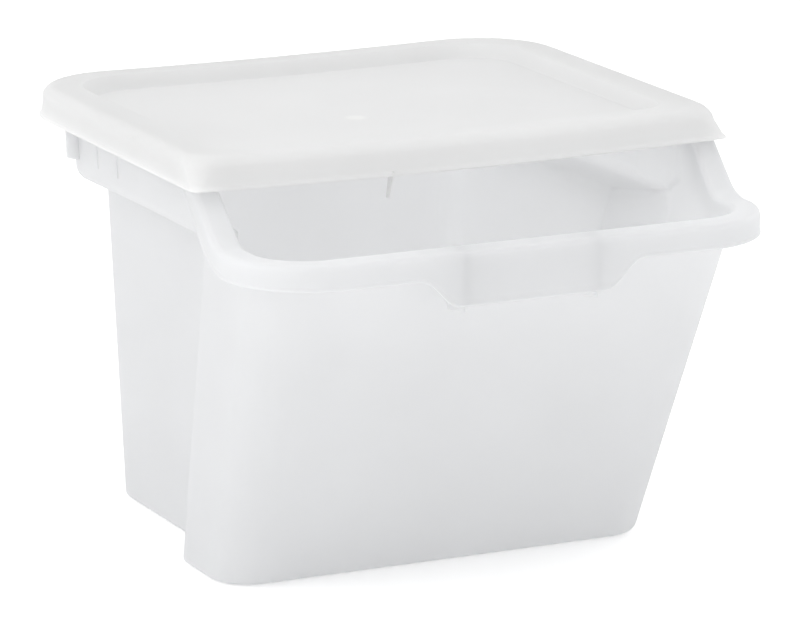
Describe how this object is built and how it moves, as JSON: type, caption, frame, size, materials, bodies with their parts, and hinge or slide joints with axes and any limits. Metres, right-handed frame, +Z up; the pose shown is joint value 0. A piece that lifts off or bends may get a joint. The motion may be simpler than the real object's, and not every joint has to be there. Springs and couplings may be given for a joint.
{
  "type": "pet food bin",
  "caption": "Open-fronted stacking bin for dry pet food: leaning front wall, low scoop mouth with a swept rim, finger grip under the front lip, and a lift-off cap lid with a sunken panel.",
  "frame": {"origin": "middle of the whole object's footprint, at the underside of the tub's floor", "axes": "+Z up, -Y towards the open front and its grip, +X to the right seen from the front"},
  "size_m": [0.4, 0.427, 0.308],
  "materials": {
    "tub_plastic": "natural translucent polypropylene, satin",
    "lid_plastic": "natural translucent polypropylene, satin"
  },
  "bodies": {
    "tub": {"tub": "tub_plastic"},
    "lid": {"lid": "lid_plastic"}
  },
  "joints": [
    {"name": "lid_lift", "type": "slide", "parent": "tub", "child": "lid", "axis": [0, 0, 1], "range_m": [0, 0.1]}
  ]
}
